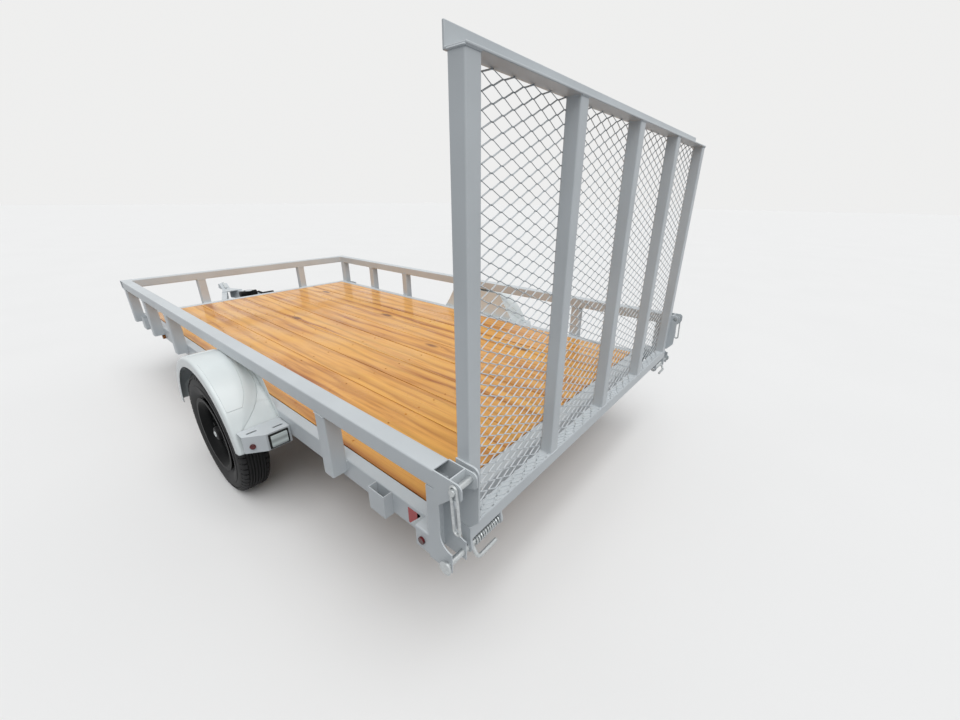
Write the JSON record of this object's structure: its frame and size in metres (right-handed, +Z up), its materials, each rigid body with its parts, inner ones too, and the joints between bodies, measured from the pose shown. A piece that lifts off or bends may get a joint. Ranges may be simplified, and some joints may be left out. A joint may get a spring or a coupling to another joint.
{
  "type": "utility trailer",
  "caption": "Single axle utility trailer with a boarded deck, square tube top rails, rolled fenders, an A-frame tongue with a jack, and a folding mesh ramp gate.",
  "frame": {"origin": "on the ground, below the middle of the trailer's length and width", "axes": "+X forward to the coupler, +Y to the left side, +Z up"},
  "size_m": [3.9334, 1.852, 1.4365],
  "materials": {
    "grey_coat": "satin grey powder coat",
    "deck_wood": "wet sealed pine boards",
    "tyre_rubber": "matt black rubber",
    "wheel_black": "gloss black paint",
    "axle_black": "satin black paint",
    "bright_zinc": "bright zinc plate",
    "black_rubber": "matt black",
    "black_plastic": "black",
    "lamp_clear": "pale lens",
    "marker_red": "dark red lens",
    "marker_amber": "amber lens"
  },
  "bodies": {
    "chassis": {"axle_beam": "axle_black", "axle_clamps": "bright_zinc", "coupler": "grey_coat", "coupler_latch": "bright_zinc", "deck_boards": "deck_wood", "fender_left": "grey_coat", "fender_right": "grey_coat", "floor_cross_members": "grey_coat", "front_cross_member": "grey_coat", "hinge_post_left": "grey_coat", "hinge_post_right": "grey_coat", "jack_crank": "black_plastic", "jack_tube": "grey_coat", "lamp_bracket_left": "grey_coat", "lamp_bracket_right": "grey_coat", "lamp_grommets": "black_rubber", "latch_bars": "bright_zinc", "leaf_spring_left": "axle_black", "leaf_spring_right": "axle_black", "rear_cross_member": "grey_coat", "round_markers": "marker_red", "side_markers": "marker_amber", "side_rail_left": "grey_coat", "side_rail_right": "grey_coat", "snap_links": "bright_zinc", "spring_hangers": "grey_coat", "stake_pockets_left": "grey_coat", "stake_pockets_right": "grey_coat", "tail_boxes": "grey_coat", "tail_lamps": "lamp_clear", "tongue_rail_left": "grey_coat", "tongue_rail_right": "grey_coat", "top_rail_front": "grey_coat", "top_rail_left": "grey_coat", "top_rail_right": "grey_coat", "uprights_front": "grey_coat", "uprights_left": "grey_coat", "uprights_right": "grey_coat"},
    "ramp_gate": {"gate_bottom_angle": "grey_coat", "gate_hinge_pins": "bright_zinc", "gate_lugs": "grey_coat", "gate_mesh": "grey_coat", "gate_pin_springs": "bright_zinc", "gate_top_angle": "grey_coat", "gate_uprights": "grey_coat"},
    "wheel_left": {"tyre_left": "tyre_rubber", "wheel_rim_left": "wheel_black", "hub_left": "bright_zinc", "lug_nuts_left": "bright_zinc"},
    "wheel_right": {"tyre_right": "tyre_rubber", "wheel_rim_right": "wheel_black", "hub_right": "bright_zinc", "lug_nuts_right": "bright_zinc"},
    "jack_leg": {"jack_leg": "grey_coat"}
  },
  "joints": [
    {"name": "wheel_left_spin", "type": "hinge", "parent": "chassis", "child": "wheel_left", "pos_m": [-0.64365, 0.8585, 0.268], "axis": [0, 1, 0], "continuous": true},
    {"name": "wheel_right_spin", "type": "hinge", "parent": "chassis", "child": "wheel_right", "pos_m": [-0.64365, -0.8585, 0.268], "axis": [0, 1, 0], "continuous": true},
    {"name": "gate_hinge", "type": "hinge", "parent": "chassis", "child": "ramp_gate", "pos_m": [-1.92165, 0, 0.415], "axis": [0, -1, 0], "range_deg": [0, 113]},
    {"name": "jack_slide", "type": "slide", "parent": "chassis", "child": "jack_leg", "axis": [0, 0, 1], "range_m": [0, 0.14]}
  ]
}
